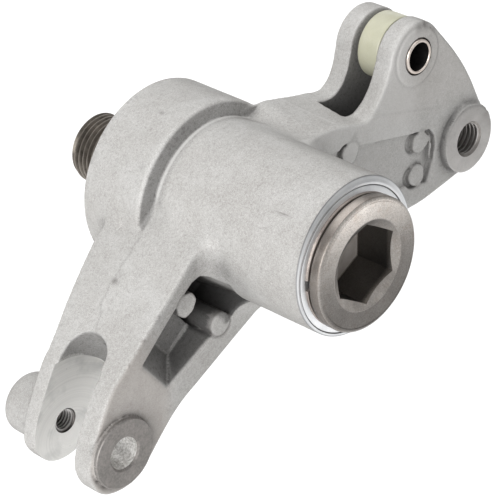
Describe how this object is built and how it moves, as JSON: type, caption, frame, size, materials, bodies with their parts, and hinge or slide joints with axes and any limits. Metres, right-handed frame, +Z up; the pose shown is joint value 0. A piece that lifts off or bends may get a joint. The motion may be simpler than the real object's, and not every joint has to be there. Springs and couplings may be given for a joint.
{
  "type": "belt tensioner",
  "caption": "Belt tensioner: cast lever with a forked spring arm and a clevis damper arm, turning on a large bearing bolt with a hexagon socket head.",
  "frame": {"origin": "on the hub axis, in the bolt's mounting shoulder that seats on the engine", "axes": "+Y along the hub axis toward the threaded stub, -Y toward the bolt head, +X to the right seen from the head, +Z up"},
  "size_m": [0.1868, 0.124, 0.1186],
  "materials": {
    "cast_aluminium": "die cast, fine shot-blasted grain, machined faces bright",
    "turned_steel": "turned, slightly brown-grey, dark oiled thread and socket",
    "bush_metal": "rolled strip, smooth",
    "seal_rubber": "moulded, matt black",
    "washer_steel": "ground flat",
    "ring_steel": "dark phosphated spring steel",
    "sleeve_steel": "drawn tube, bright rim",
    "roller_plastic": "cream plastic, smooth, slightly translucent"
  },
  "bodies": {
    "bolt": {"bearing_bolt": "turned_steel", "front_seal_ring": "seal_rubber", "retaining_ring": "ring_steel"},
    "lever": {"lever_casting": "cast_aluminium", "front_bush": "bush_metal", "rear_bush": "bush_metal", "rear_shaft_seal": "seal_rubber", "rear_thrust_washer": "washer_steel", "spring_sleeve": "sleeve_steel"},
    "roller": {"spring_roller": "roller_plastic"}
  },
  "joints": [
    {"name": "lever_swing", "type": "hinge", "parent": "bolt", "child": "lever", "pos_m": [0, 0, 0], "axis": [0, 1, 0], "continuous": true},
    {"name": "roller_spin", "type": "hinge", "parent": "lever", "child": "roller", "pos_m": [0.0707, 0, 0.0353], "axis": [0, 1, 0], "continuous": true}
  ]
}
